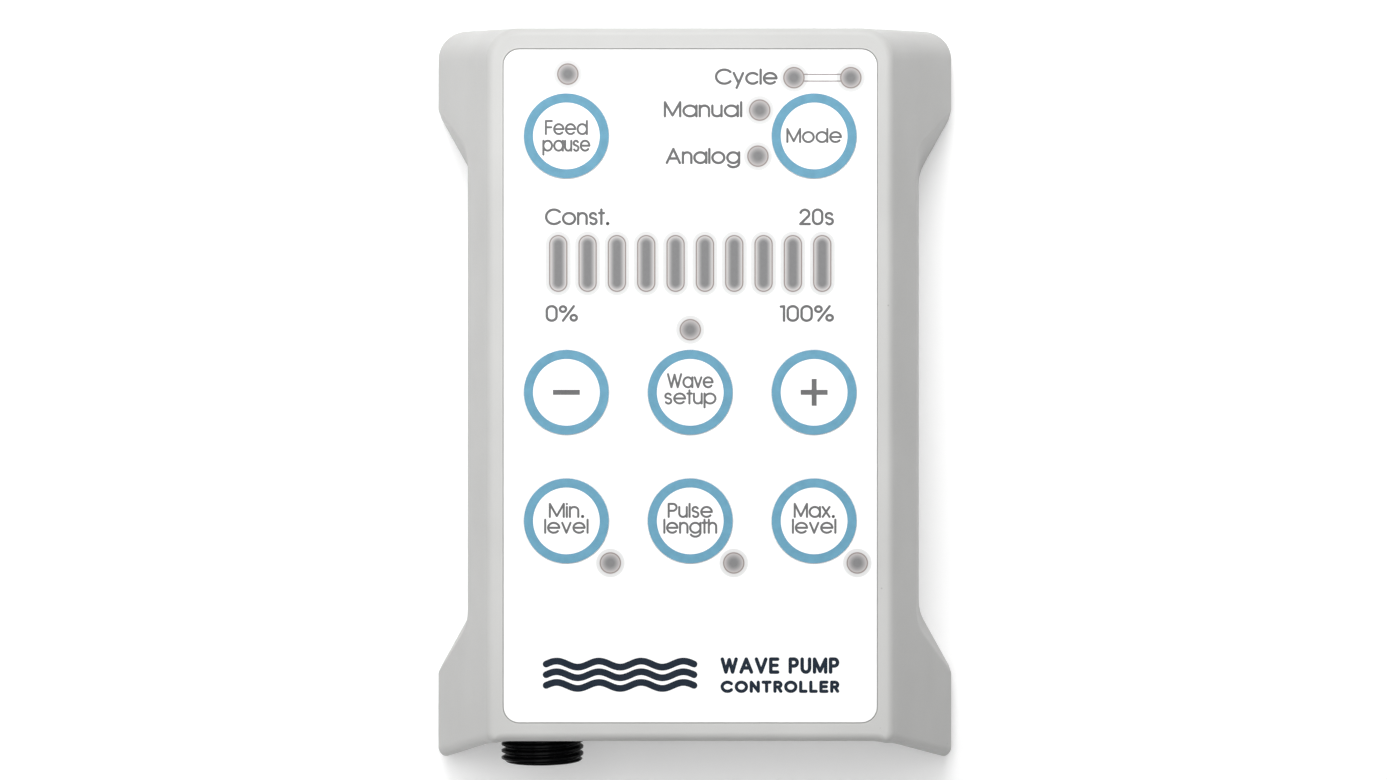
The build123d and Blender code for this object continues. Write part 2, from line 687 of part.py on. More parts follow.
with BuildPart() as pump_socket_contacts:
    for x, z in pin_spots():
        turn = leg_y(z)
        with BuildSketch(Plane.XZ.offset(-SOCKET_TIP_Y - PIN_DEPTH)):
            with Locations((x, z)):
                Circle(PIN_R)
        extrude(amount=-(turn + LEG_R - SOCKET_TIP_Y - PIN_DEPTH))
        with BuildSketch(Plane.XY.offset(z)):
            with Locations((x, turn)):
                Circle(LEG_R)
        extrude(amount=BOARD_TOP + LEG_RISE - z)
save(pump_socket_contacts.part, "pump_socket_contacts")

with BuildPart() as pump_socket_seal:
    with BuildSketch(Plane((SOCKET_X, INNER_WALL_Y - SEAL_R - FIT_GAP, SOCKET_Z))):
        with Locations((SOCKET_R + SEAL_R + SEAL_GAP, 0)):
            Circle(SEAL_R)
    revolve(axis=Axis((SOCKET_X, 0, SOCKET_Z), (0, 1, 0)))
save(pump_socket_seal.part, "pump_socket_seal")

# ---------------------------------------------------------------- power and control jacks


def build_jack(x, z, body, collar_r, bore_r, bore_depth):
    """A jack's body under the board, with a collar that fills its hole in the wall."""
    with BuildPart() as jack:
        with Locations((x, INNER_WALL_Y + JACK_WALL_GAP, BOARD_BOTTOM)):
            Box(*body, align=(Align.CENTER, Align.MIN, Align.MAX))
        with BuildSketch(JACK_FRONT):
            with Locations((x, z)):
                Circle(collar_r)
        extrude(amount=-COLLAR_LENGTH)
        with BuildSketch(JACK_FRONT):
            with Locations((x, z)):
                Circle(bore_r)
        extrude(amount=-bore_depth, mode=Mode.SUBTRACT)
    return jack.part


with BuildPart() as power_jack_housing:
    add(build_jack(POWER_X, POWER_Z, POWER_BODY, POWER_COLLAR_R, POWER_BORE_R, POWER_BORE_DEPTH))
    with BuildSketch(JACK_FRONT):
        with Locations((POWER_X, POWER_Z)):
            Circle(POWER_PIN_R + FIT_GAP)
    extrude(amount=-(POWER_PIN_SINK + POWER_PIN_LENGTH + JACK_WALL_GAP), mode=Mode.SUBTRACT)
save(power_jack_housing.part, "power_jack_housing")

with BuildPart() as power_jack_pin:
    with BuildSketch(JACK_FRONT.offset(-POWER_PIN_SINK)):
        with Locations((POWER_X, POWER_Z)):
            Circle(POWER_PIN_R)
    extrude(amount=-POWER_PIN_LENGTH)
    fillet(power_jack_pin.edges().group_by(Axis.Y)[0], POWER_PIN_TIP_R)
save(power_jack_pin.part, "power_jack_pin")

control_jack = build_jack(
    CONTROL_X, CONTROL_Z, CONTROL_BODY, CONTROL_COLLAR_R, CONTROL_BORE_R, CONTROL_BORE_DEPTH
)
save(control_jack, "control_jack_housing")

# ---------------------------------------------------------------- board and what it carries

hung = (Align.CENTER, Align.CENTER, Align.MAX)

with BuildPart() as circuit_board:
    with BuildSketch(Plane.XY.offset(BOARD_BOTTOM)):
        with Locations((0, BOARD_Y)):
            RectangleRounded(BOARD_WIDTH, BOARD_LENGTH, BOARD_R)
        with Locations(*board_boss_spots):
            Circle(BOARD_HOLE_R, mode=Mode.SUBTRACT)
        with Locations(*[(x, leg_y(z)) for x, z in pin_spots()]):
            Circle(LEG_HOLE_R, mode=Mode.SUBTRACT)
    extrude(amount=BOARD_THICKNESS)
save(circuit_board.part, "circuit_board")

with BuildPart() as board_screws:
    with Locations(*board_boss_spots):
        with Locations((0, 0, BOARD_BOTTOM)):
            Cylinder(BOARD_SCREW_HEAD_R, BOARD_SCREW_HEAD, align=hung)
            Cylinder(BOARD_SCREW_R, BOARD_SCREW_LENGTH, align=(Align.CENTER, Align.CENTER, Align.MIN))
    extrude(cross_slots(board_boss_spots, BOARD_SCREW_CROSS, BOARD_BOTTOM - BOARD_SCREW_HEAD),
            amount=BOARD_SCREW_CROSS[2], mode=Mode.SUBTRACT)
save(board_screws.part, "board_screws")

with BuildPart() as microcontroller:
    with Locations((*MICROCONTROLLER_SPOT, BOARD_BOTTOM)):
        Box(MICROCONTROLLER_SIZE, MICROCONTROLLER_SIZE, MICROCONTROLLER_HEIGHT, align=hung)
    chamfer(microcontroller.edges().filter_by(Axis.Z), MICROCONTROLLER_CORNER)
    for side in range(4):
        with Locations(Location((*MICROCONTROLLER_SPOT, BOARD_BOTTOM), (0, 0, 90 * side))):
            with Locations(((MICROCONTROLLER_SIZE + LEAD_REACH) / 2, 0, 0)):
                with GridLocations(0, LEAD_PITCH, 1, LEAD_COUNT):
                    Box(*LEAD_SIZE, align=hung)
save(microcontroller.part, "microcontroller")

with BuildPart() as driver_transistors:
    with Locations(*[(x, y, BOARD_BOTTOM) for x, y in TRANSISTOR_SPOTS]):
        Box(*TRANSISTOR_BODY, align=hung)
        with Locations((0, TRANSISTOR_END_Y, 0)):
            Box(*TRANSISTOR_TAB, align=hung)
        with Locations((-TRANSISTOR_LEG_X, -TRANSISTOR_END_Y, 0), (TRANSISTOR_LEG_X, -TRANSISTOR_END_Y, 0)):
            Box(*TRANSISTOR_LEG, align=hung)
save(driver_transistors.part, "driver_transistors")

with BuildPart() as bulk_capacitors:
    with Locations(*[(x, y, BOARD_BOTTOM) for x, y in CAPACITOR_SPOTS]):
        Cylinder(CAPACITOR_R, CAPACITOR_HEIGHT, align=hung)
    fillet(bulk_capacitors.edges().group_by(Axis.Z)[0], CAPACITOR_EDGE_R)
save(bulk_capacitors.part, "bulk_capacitors")

with BuildPart() as inductor:
    with Locations((*INDUCTOR_SPOT, BOARD_BOTTOM)):
        Box(INDUCTOR_SIZE, INDUCTOR_SIZE, INDUCTOR_HEIGHT, align=hung)
    chamfer(inductor.edges().filter_by(Axis.Z), INDUCTOR_CORNER)
    fillet(inductor.edges().group_by(Axis.Z)[0], INDUCTOR_EDGE_R)
save(inductor.part, "inductor")
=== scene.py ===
import json
import math

import bmesh
import bpy
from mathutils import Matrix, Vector


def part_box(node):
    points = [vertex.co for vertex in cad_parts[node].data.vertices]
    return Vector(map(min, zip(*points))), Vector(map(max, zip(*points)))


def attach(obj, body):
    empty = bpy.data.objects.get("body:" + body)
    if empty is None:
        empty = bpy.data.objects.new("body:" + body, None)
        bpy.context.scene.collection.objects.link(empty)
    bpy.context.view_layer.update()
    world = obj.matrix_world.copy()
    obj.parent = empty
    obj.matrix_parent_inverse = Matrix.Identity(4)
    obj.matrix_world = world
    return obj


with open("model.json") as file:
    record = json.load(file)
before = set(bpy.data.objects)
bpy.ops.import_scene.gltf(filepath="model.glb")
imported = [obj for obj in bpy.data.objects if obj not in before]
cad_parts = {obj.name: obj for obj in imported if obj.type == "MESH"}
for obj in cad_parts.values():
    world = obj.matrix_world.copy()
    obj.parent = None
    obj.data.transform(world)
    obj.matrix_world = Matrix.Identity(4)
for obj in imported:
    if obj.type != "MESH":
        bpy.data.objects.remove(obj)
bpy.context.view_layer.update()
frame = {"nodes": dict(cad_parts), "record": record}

MM = 0.001
ROOT = "controller"
KEYS = ("feed_pause", "mode", "minus", "wave_setup", "plus", "min_level", "pulse_length", "max_level")
LIGHTS = ("feed_pause", "cycle_left", "cycle_right", "manual", "analog",
          "wave_setup", "min_level", "pulse_length", "max_level")
FILM_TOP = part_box("keypad_overlay")[1].z
KEY_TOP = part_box("mode_key")[1].z

# How bright the soft boxes make a white keypad, and the whitest that a surface may be
EXPOSURE = 1.44
WHITEST = 0.93
GAMMA = 2.2


def albedo(red, green, blue):
    """Linear colour of a surface that should show as this 0 to 255 colour in the scene's light."""
    return tuple(min(WHITEST, (c / 255) ** GAMMA / EXPOSURE) for c in (red, green, blue))


def toned(colour, share, lift=0.0):
    """A colour made lighter or darker."""
    return tuple(min(1.0, c * share + lift) for c in colour)


def middle(node):
    """The centre of a CAD node's box."""
    low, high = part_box(node)
    return (low + high) / 2


# ------------------------------------------------------------------ node helpers


class Material:
    """A node material with short calls for the nodes that the finishes share."""

    def __init__(self, name):
        self.data = bpy.data.materials.new(name)
        self.data.use_nodes = True
        self.nodes = self.data.node_tree.nodes
        self.links = self.data.node_tree.links
        self.shader = self.nodes["Principled BSDF"]
        self.place = self.nodes.new("ShaderNodeTexCoord").outputs["Object"]

    def set(self, socket, value):
        """Gives a shader input a number, a colour or another node's output."""
        self.feed(self.shader.inputs[socket], value)

    def feed(self, socket, value):
        """Gives any input a number, a colour or another node's output."""
        if isinstance(value, bpy.types.NodeSocket):
            self.links.new(value, socket)
        elif isinstance(value, tuple) and len(value) == 3:
            socket.default_value = (*value, 1.0) if socket.type == "RGBA" else value
        else:
            socket.default_value = value

    def noise(self, size, detail=3.0, roughness=0.55, stretch=(1, 1, 1)):
        """Noise whose features are about size metres across."""
        place = self.nodes.new("ShaderNodeMapping")
        place.inputs["Scale"].default_value = stretch
        self.links.new(self.place, place.inputs["Vector"])
        noise = self.nodes.new("ShaderNodeTexNoise")
        noise.inputs["Scale"].default_value = 1 / size
        noise.inputs["Detail"].default_value = detail
        noise.inputs["Roughness"].default_value = roughness
        self.links.new(place.outputs["Vector"], noise.inputs["Vector"])
        return noise.outputs["Fac"]

    def cells(self, size, feature="F1"):
        """Distances in a pattern of cells about size metres across."""
        cells = self.nodes.new("ShaderNodeTexVoronoi")
        cells.feature = feature
        cells.inputs["Scale"].default_value = 1 / size
        self.links.new(self.place, cells.inputs["Vector"])
        return cells.outputs["Distance"]

    def remap(self, value, low, high, to_low, to_high):
        """Turns low to high into to_low to to_high, and holds the ends."""
        node = self.nodes.new("ShaderNodeMapRange")
        node.inputs["From Min"].default_value = low
        node.inputs["From Max"].default_value = high
        node.inputs["To Min"].default_value = to_low
        node.inputs["To Max"].default_value = to_high
        self.links.new(value, node.inputs["Value"])
        return node.outputs["Result"]

    def spread(self, noise, to_low=0.0, to_high=1.0):
        """Noise stretched over a whole range, since it seldom leaves its middle."""
        return self.remap(noise, 0.3, 0.7, to_low, to_high)

    def mix(self, factor, first, second):
        """A blend of two colours."""
        node = self.nodes.new("ShaderNodeMix")
        node.data_type = "RGBA"
        self.feed(node.inputs["Factor"], factor)
        self.feed(node.inputs[6], first)
        self.feed(node.inputs[7], second)
        return node.outputs[2]

    def maths(self, operation, first, second):
        """A sum, difference or product."""
        node = self.nodes.new("ShaderNodeMath")
        node.operation = operation
        self.feed(node.inputs[0], first)
        self.feed(node.inputs[1], second)
        return node.outputs["Value"]

    def bump(self, height, strength, distance, under=None):
        """A relief from a height, over another relief if one is given."""
        node = self.nodes.new("ShaderNodeBump")
        node.inputs["Strength"].default_value = strength
        node.inputs["Distance"].default_value = distance
        self.links.new(height, node.inputs["Height"])
        if under is not None:
            self.links.new(under, node.inputs["Normal"])
        return node.outputs["Normal"]

    def edges(self, radius):
        """Near 1 on edges sharper than the radius, and 0 on flat stretches."""
        bevel = self.nodes.new("ShaderNodeBevel")
        bevel.samples = 4
        bevel.inputs["Radius"].default_value = radius
        geometry = self.nodes.new("ShaderNodeNewGeometry")
        dot = self.nodes.new("ShaderNodeVectorMath")
        dot.operation = "DOT_PRODUCT"
        self.links.new(bevel.outputs["Normal"], dot.inputs[0])
        self.links.new(geometry.outputs["Normal"], dot.inputs[1])
        return self.remap(dot.outputs["Value"], 1.0, 0.9, 0.0, 1.0)


# ------------------------------------------------------------------ finishes


def moulded(name, colour, roughness, grain=0.22 * MM, depth=0.010 * MM, wear=0.25, fleck=0.0, shine=0.5):
    """Injection-moulded plastic: spark-eroded grain, faint flow shading, rubbed edges, flecks of dirt."""
    m = Material(name)
    flow = m.noise(18 * MM, detail=2.0)
    grime = m.noise(2.5 * MM, detail=5.0, roughness=0.65)
    base = m.mix(m.spread(flow), toned(colour, 0.955), toned(colour, 1.035))
    base = m.mix(m.remap(grime, 0.62, 0.80, 0.0, 0.10), base, toned(colour, 0.72))
    rubbed = m.edges(0.5 * MM)
    base = m.mix(m.maths("MULTIPLY", rubbed, wear), base, toned(colour, 1.12, lift=0.01))
    if fleck:
        spots = m.cells(5.2 * MM)
        base = m.mix(m.remap(spots, 0.026, 0.018, 0.0, fleck), base, toned(colour, 0.45))
    m.set("Base Color", base)
    fine = m.noise(grain, detail=2.0)
    rough = m.spread(fine, roughness - 0.05, roughness + 0.06)
    m.set("Roughness", m.maths("SUBTRACT", rough, m.maths("MULTIPLY", rubbed, 0.10)))
    m.set("IOR", 1.49)
    m.set("Specular IOR Level", shine)
    broad = m.noise(6 * MM, detail=1.0)
    m.set("Normal", m.bump(fine, 0.35, depth, m.bump(broad, 0.08, 0.05 * MM)))
    return m


def film(name, colour, roughness=0.42):
    """Printed polyester film: smooth, with a fine velvet finish, faint clouding and dust."""
    m = Material(name)
    cloud = m.noise(14 * MM, detail=3.0)
    base = m.mix(m.spread(cloud), toned(colour, 0.985), colour)
    dust = m.noise(1.1 * MM, detail=4.0, roughness=0.7)
    base = m.mix(m.remap(dust, 0.70, 0.82, 0.0, 0.12), base, toned(colour, 0.80))
    m.set("Base Color", base)
    velvet = m.noise(0.09 * MM, detail=1.0)
    m.set("Roughness", m.spread(velvet, roughness - 0.04, roughness + 0.05))
    m.set("IOR", 1.5)
    m.set("Normal", m.bump(velvet, 0.2, 0.004 * MM))
    return m


INK_SHINE = 0.12


def ink(name, colour, roughness=0.45):
    """Screen-printed ink: a mesh weave in its thickness and slightly uneven cover."""
    m = Material(name)
    cover = m.noise(1.6 * MM, detail=4.0, roughness=0.6)
    thin, thick = toned(colour, 0.95), toned(colour, 1.05, lift=0.004)
    m.set("Base Color", m.mix(m.remap(cover, 0.35, 0.65, 0.0, 1.0), thin, thick))
    weave = m.noise(0.07 * MM, detail=1.0)
    m.set("Roughness", m.spread(weave, roughness - 0.05, roughness + 0.07))
    m.set("Specular IOR Level", INK_SHINE)
    m.set("Normal", m.bump(weave, 0.25, 0.004 * MM))
    return m


def window_painted_shade(name):
    """Clear window of the film, whose tone, painted shade of the unlit space under it, is held in the mesh,
    with light print noise over it.
    """
    m = Material(name)
    tone = m.nodes.new("ShaderNodeAttribute")
    tone.attribute_name = "tone"
    speck = m.noise(0.35 * MM, detail=3.0)
    speck_grey = (0.40, 0.40, 0.41)
    m.set("Base Color", m.mix(m.remap(speck, 0.35, 0.65, 0.0, 0.05), tone.outputs["Color"], speck_grey))
    m.set("Specular IOR Level", INK_SHINE)
    fine = m.noise(0.12 * MM)
    m.set("Roughness", m.spread(fine, 0.36, 0.46))
    m.set("Normal", m.bump(fine, 0.15, 0.003 * MM))
    return m


def metal(name, colour, roughness, streak=(1, 1, 1)):
    """Bare or plated metal with drawn streaks, handling marks and brighter edges."""
    m = Material(name)
    drawn = m.noise(0.30 * MM, detail=4.0, stretch=streak)
    tarnish = m.noise(1.8 * MM, detail=5.0, roughness=0.65)
    base = m.mix(m.remap(tarnish, 0.4, 0.75, 0.0, 0.5), colour, toned(colour, 0.72))
    m.set("Base Color", m.mix(m.edges(0.15 * MM), base, toned(colour, 1.15)))
    m.set("Metallic", 1.0)
    m.set("Roughness", m.spread(drawn, roughness - 0.08, roughness + 0.10))
    m.set("Normal", m.bump(drawn, 0.3, 0.006 * MM))
    return m


def clear_pipe(name):
    """Milky clear polycarbonate of the light pipes."""
    m = Material(name)
    haze = m.noise(0.8 * MM, detail=3.0)
    m.set("Base Color", m.mix(m.spread(haze), (0.80, 0.84, 0.86), (0.92, 0.94, 0.95)))
    m.set("Roughness", m.spread(haze, 0.12, 0.24))
    m.set("Transmission Weight", 0.7)
    m.set("IOR", 1.58)
    m.set("Normal", m.bump(haze, 0.1, 0.01 * MM))
    return m


def solder_mask(name):
    """Green board lacquer over a copper pattern that shows as raised, lighter tracks."""
    m = Material(name)
    copper = m.remap(m.cells(3.2 * MM, feature="DISTANCE_TO_EDGE"), 0.05, 0.09, 1.0, 0.0)
    stain = m.noise(5 * MM, detail=4.0)
    green = m.mix(m.spread(stain), (0.012, 0.12, 0.055), (0.018, 0.16, 0.075))
    m.set("Base Color", m.mix(copper, green, (0.04, 0.26, 0.12)))
    m.set("Roughness", m.spread(stain, 0.22, 0.36))
    m.set("Normal", m.bump(copper, 0.4, 0.03 * MM))
    return m


CASE_GREY = albedo(219, 219, 217)
LABEL_GREY = albedo(226, 228, 230)
FILM_WHITE = (0.915, 0.915, 0.915)
FINISHES = {
    "case": moulded("case_plastic", CASE_GREY, 0.50, fleck=0.5),
    "overlay": film("keypad_film", FILM_WHITE),
    "label": film("label_film", LABEL_GREY, 0.36),
    "key": film("key_film", FILM_WHITE),
    "stem": moulded("stem_plastic", (0.30, 0.32, 0.35), 0.42),
    "switch": moulded("switch_plastic", (0.022, 0.022, 0.024), 0.48, wear=0.5),
    "light_pipe": clear_pipe("pipe_plastic"),
    "led": moulded("led_resin", (0.80, 0.74, 0.42), 0.30, grain=0.12 * MM),
    "board": solder_mask("board_lacquer"),
    "chip": moulded("chip_epoxy", (0.020, 0.020, 0.022), 0.55, grain=0.10 * MM, wear=0.4),
    "capacitor": metal("capacitor_can", (0.78, 0.79, 0.80), 0.30, streak=(1, 1, 0.1)),
    "ferrite": moulded("ferrite", (0.055, 0.055, 0.060), 0.62, grain=0.15 * MM, depth=0.02 * MM),
    "screw": metal("screw_zinc", (0.66, 0.67, 0.69), 0.34),
    "socket": moulded("socket_nylon", (0.0020, 0.0020, 0.0024), 0.30, grain=0.30 * MM,
                      depth=0.008 * MM, wear=0.6, shine=0.05),
    "socket_insert": moulded("insert_nylon", (0.016, 0.016, 0.018), 0.50, grain=0.20 * MM, wear=0.6),
    "contact": metal("contact_gold", (0.90, 0.66, 0.28), 0.22),
    "seal": moulded("seal_rubber", (0.012, 0.012, 0.012), 0.70, grain=0.12 * MM, wear=0.1),
}
RING_BLUE = ink("ring_ink", albedo(116, 176, 205))
LEGEND_GREY = ink("legend_ink", albedo(120, 120, 121))
SYMBOL_NAVY = ink("symbol_ink", (0.0022, 0.0105, 0.0240), 0.40)
LINK_GREY = ink("link_ink", albedo(168, 160, 158))
# The windows' painted shade, held as tone in their mesh, with print noise over it.
WINDOW_SHADE = window_painted_shade("window_painted_shade")


def paint_frame():
    """Gives every CAD node the finish of its material slot."""
    slots = {entry["node"]: entry["material_slot"] for entry in frame["record"]["subparts"]}
    for name, node in frame["nodes"].items():
        node.data.materials.clear()
        node.data.materials.append(FINISHES[slots[name]].data)


# ------------------------------------------------------------------ mesh helpers


def piece(name, mesh, material, body):
    """Makes a bmesh into a piece that rides on a body."""
    bmesh.ops.recalc_face_normals(mesh, faces=mesh.faces)
    data = bpy.data.meshes.new(name)
    mesh.to_mesh(data)
    mesh.free()
    data.materials.append(material.data)
    made = bpy.data.objects.new(name, data)
    bpy.context.scene.collection.objects.link(made)
    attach(made, body)
    return made


def bridge(mesh, first, second):
    """Quads between two closed rings of vertices."""
    for i in range(len(first)):
        j = (i + 1) % len(first)
        mesh.faces.new((first[i], first[j], second[j], second[i]))


def circle(centre, radius, z, steps=96):
    """Points of a circle."""
    angles = [2 * math.pi * i / steps for i in range(steps)]
    return [(centre.x + radius * math.cos(a), centre.y + radius * math.sin(a), z) for a in angles]


# How deep ink starts in the surface under it, how thick it is there, and how its top rises from one
# stroke to the next.
INK_SINK = 0.005 * MM
INK_THICKNESS = 0.016 * MM
STROKE_STEP = 0.0009 * MM
STROKE_STEPS = 7

RING_INNER = 4.625 * MM
RING_OUTER = 5.9 * MM
RING_SINK = 0.004 * MM
RING_THICKNESS = 0.022 * MM
RING_SHOULDER = 0.6
RING_RIM = 0.03 * MM


def printed_ring(name, centre, body):
    """A key's flat ring of ink, with a rounded rim."""
    low = KEY_TOP - RING_SINK
    shoulder = low + RING_THICKNESS * RING_SHOULDER
    high = low + RING_THICKNESS
    outline = [
        (RING_INNER, low), (RING_INNER, shoulder), (RING_INNER + RING_RIM, high),
        (RING_OUTER - RING_RIM, high), (RING_OUTER, shoulder), (RING_OUTER, low),
    ]
    mesh = bmesh.new()
    rings = [[mesh.verts.new(p) for p in circle(centre, radius, z)] for radius, z in outline]
    for first, second in zip(rings, rings[1:] + rings[:1]):
        bridge(mesh, first, second)
    piece(name, mesh, RING_BLUE, body)


def plate(mesh, outline, low, high):
    """A flat closed plate with the outline of the points."""
    under = [mesh.verts.new((x, y, low)) for x, y in outline]
    over = [mesh.verts.new((x, y, high)) for x, y in outline]
    bridge(mesh, under, over)
    mesh.faces.new(over)
    mesh.faces.new(under[::-1])


def cap_points(end, direction, width, steps=6):
    """The inner points of the half circle that closes a stroke's end, from its left to its right."""
    left = Vector((-direction.y, direction.x))
    angles = [math.pi * k / steps for k in range(1, steps)]
    return [end + (left * math.cos(a) + direction * math.sin(a)) * width / 2 for a in angles]


SHARP_TURN = math.radians(32)
SHORTEST_STEP = 0.005 * MM
CLOSED_GAP = 0.0001 * MM


def smooth_runs(path):
    """The path cut at its sharp corners, so that each run can be one stroke."""
    runs, run = [], [path[0]]
    for before, point, after in zip(path, path[1:], path[2:]):
        run.append(point)
        if (point - before).normalized().angle((after - point).normalized()) > SHARP_TURN:
            runs.append(run)
            run = [point]
    return runs + [run + [path[-1]]]


class Pen:
    """Lays strokes of ink on a surface, each a hair higher than the last so that no two faces coincide."""

    def __init__(self, width, surface):
        self.mesh = bmesh.new()
        self.width = width
        self.surface = surface
        self.count = 0

    def draw(self, points):
        """One line of ink along the points, with round joints and ends."""
        path = [Vector(points[0])]
        for previous, point in zip(points, points[1:]):
            if (Vector(point) - Vector(previous)).length > SHORTEST_STEP:
                path.append(Vector(point))
        if len(path) > 2 and (path[0] - path[-1]).length < CLOSED_GAP:
            self.closed_stroke(path[:-1])
        else:
            for run in smooth_runs(path):
                self.open_stroke(run)

    def heights(self):
        """The bottom and top of the next stroke."""
        self.count += 1
        rise = STROKE_STEP * (self.count % STROKE_STEPS)
        return self.surface - INK_SINK, self.surface + INK_THICKNESS + rise

    def sides(self, path, closed):
        """The left and right edge points beside every point of the path, with its tangent."""
        last = len(path) - 1
        found = []
        for i, point in enumerate(path):
            before = path[i - 1] if closed or i else None
            after = path[(i + 1) % len(path)] if closed or i < last else None
            into = (point - before).normalized() if before is not None else (after - point).normalized()
            out = (after - point).normalized() if after is not None else into
            tangent = (into + out).normalized()
            normal = Vector((-tangent.y, tangent.x))
            reach = self.width / 2 / normal.dot(Vector((-out.y, out.x)))
            found.append((point + normal * reach, point - normal * reach, tangent))
        return found

    def closed_stroke(self, path):
        """A stroke that ends where it starts."""
        bottom, top = self.heights()
        sides = self.sides(path, True)
        corners = [
            [self.mesh.verts.new((side[edge].x, side[edge].y, z)) for side in sides]
            for edge, z in ((0, bottom), (0, top), (1, top), (1, bottom))
        ]
        for first, second in zip(corners, corners[1:] + corners[:1]):
            bridge(self.mesh, first, second)

    def open_stroke(self, path):
        """A stroke with two round ends."""
        bottom, top = self.heights()
        sides = self.sides(path, False)
        far = cap_points(path[-1], sides[-1][2], self.width)
        near = cap_points(path[0], -sides[0][2], self.width)
        left, right = [side[0] for side in sides], [side[1] for side in reversed(sides)]
        outline = left + far + right + near
        low = [self.mesh.verts.new((p.x, p.y, bottom)) for p in outline]
        high = [self.mesh.verts.new((p.x, p.y, top)) for p in outline]
        bridge(self.mesh, low, high)
        count, bend = len(sides), len(far)
        back = 2 * count + bend - 1
        for level in (low, high):
            for i in range(count - 1):
                self.mesh.faces.new((level[i], level[i + 1], level[back - i - 1], level[back - i]))
            self.mesh.faces.new(level[count - 1:count + bend + 1])
            self.mesh.faces.new(level[back:] + level[:1])

    def finish(self, name, material, body):
        """Makes all the strokes so far into one piece."""
        piece(name, self.mesh, material, body)


# ------------------------------------------------------------------ lettering

# Every letter is drawn in a box whose capitals are 1 high. H is the height of a small letter's body.
H = 0.76


def arc(x, y, across, up, start, stop, steps=20):
    """Points on an ellipse from one angle to another, in degrees."""
    angles = [math.radians(start + (stop - start) * i / steps) for i in range(steps + 1)]
    return [(x + across * math.cos(a), y + up * math.sin(a)) for a in angles]


def loop(x, y, across, up):
    """A whole ellipse whose last point is its first."""
    points = arc(x, y, across, up, 90, 450, 32)
    points[-1] = points[0]
    return points


def bowl():
    """The round body of a, d, g, o and p."""
    return loop(H / 2, H / 2, H / 2, H / 2)


def arch(width):
    """The shoulder and right leg of n and h."""
    r = width / 2
    return arc(r, H - r, r, r, 180, 0, 12) + [(width, 0)]


